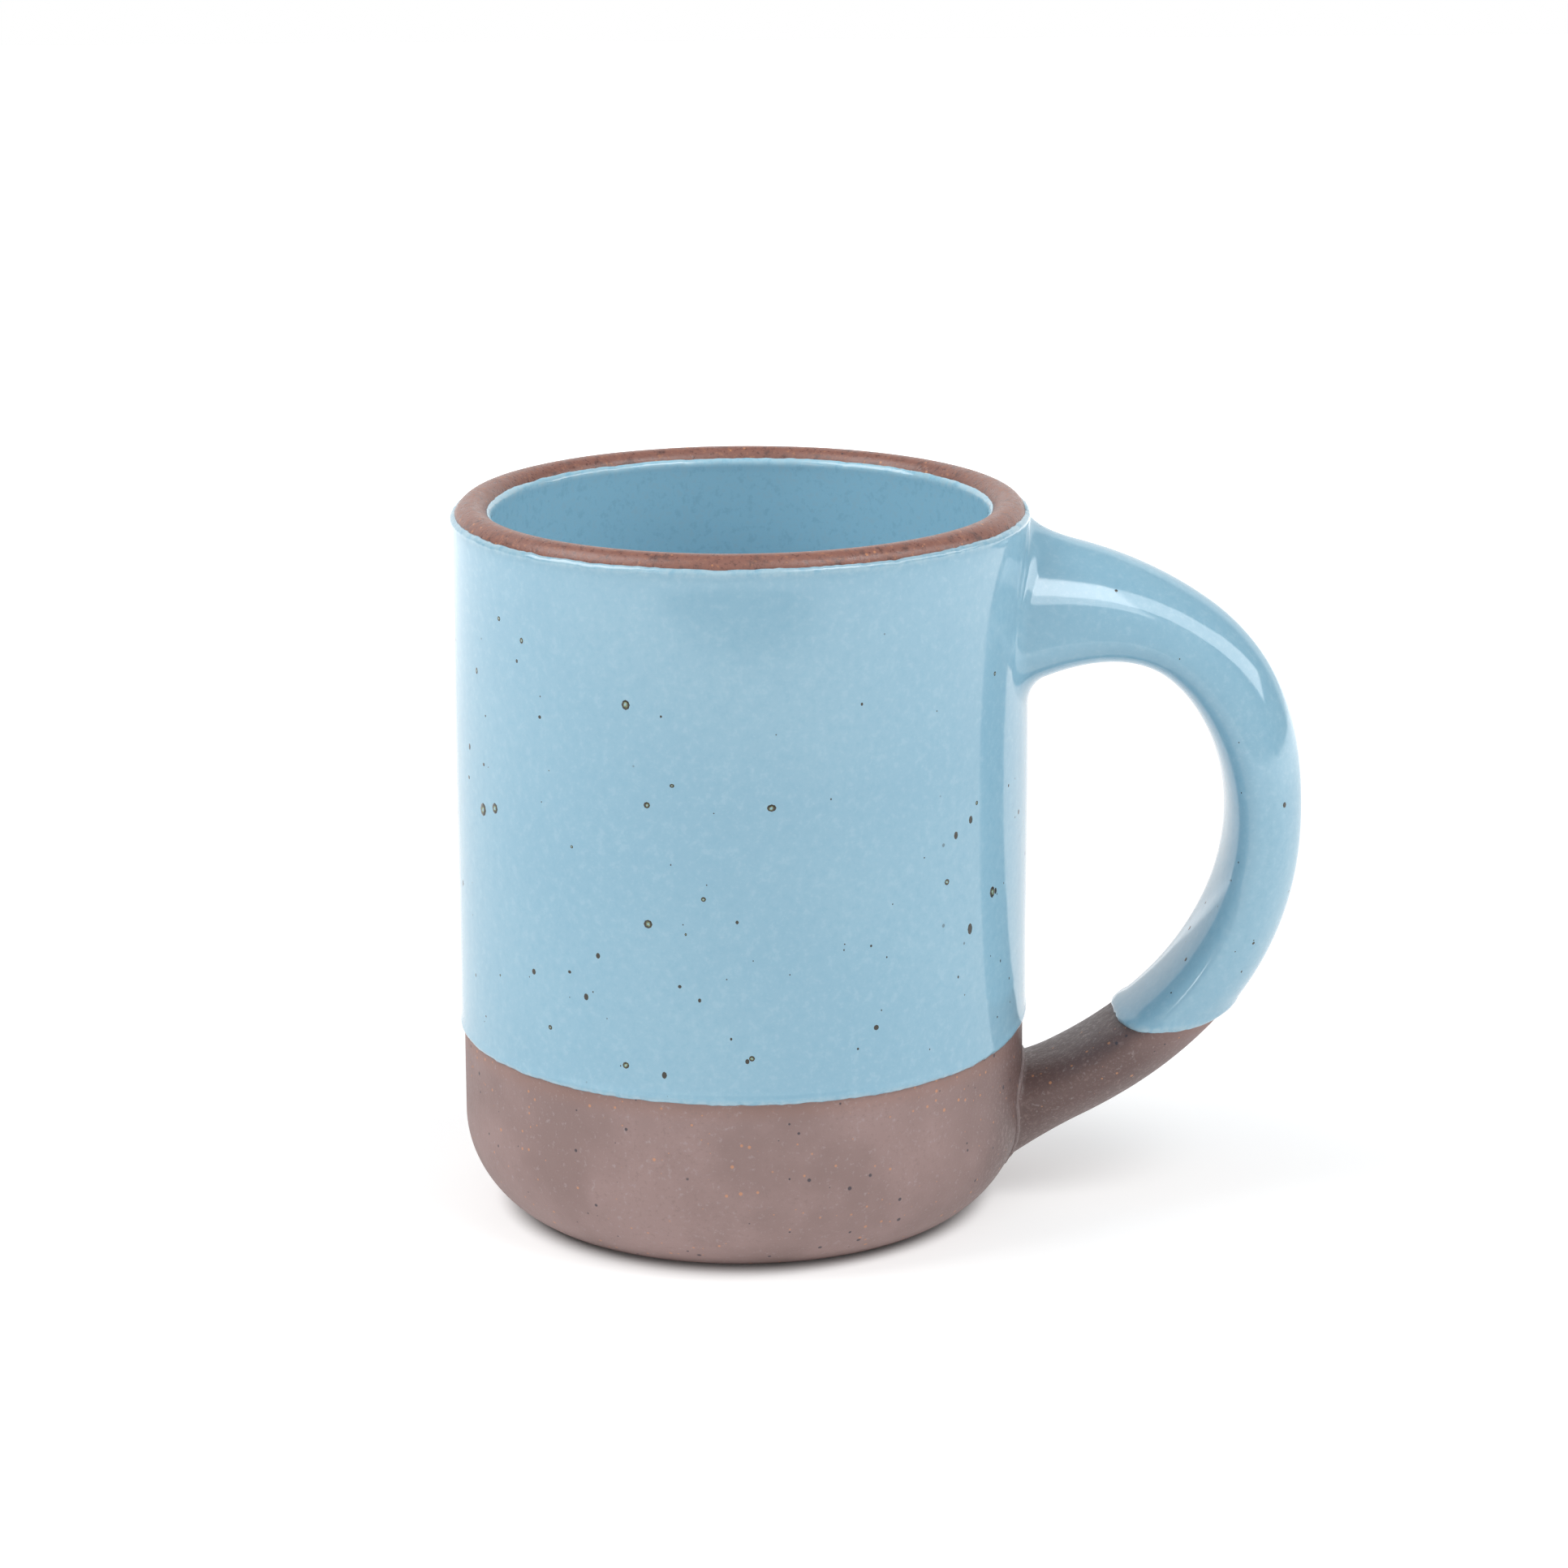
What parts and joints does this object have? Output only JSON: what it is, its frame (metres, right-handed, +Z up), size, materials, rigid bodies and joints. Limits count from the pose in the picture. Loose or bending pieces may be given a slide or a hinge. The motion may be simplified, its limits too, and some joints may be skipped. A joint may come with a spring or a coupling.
{
  "type": "stoneware mug",
  "caption": "Straight stoneware mug with a rounded bare clay lip and base, a glossy blue glazed wall and one loop handle with a thick upper root.",
  "frame": {"origin": "the cup's axis, on the surface that the mug stands on", "axes": "+Z up along the cup's axis, +X towards the handle"},
  "size_m": [0.1233, 0.083, 0.105],
  "materials": {
    "bare_clay": "unglazed stoneware, matt, fine grain with small rust and dark flecks",
    "clay_slip": "dried slip, matt, slightly darker than the clay",
    "blue_glaze": "glossy sky-blue glass coat with dark iron specks",
    "liner_glaze": "glossy blue glass coat, slightly deeper in tone"
  },
  "bodies": {
    "root": {"cup_body": "bare_clay", "handle": "bare_clay", "upper_slip_joint": "clay_slip", "lower_slip_joint": "clay_slip", "cup_glaze": "blue_glaze", "liner_glaze": "liner_glaze", "handle_glaze": "blue_glaze"}
  },
  "joints": []
}
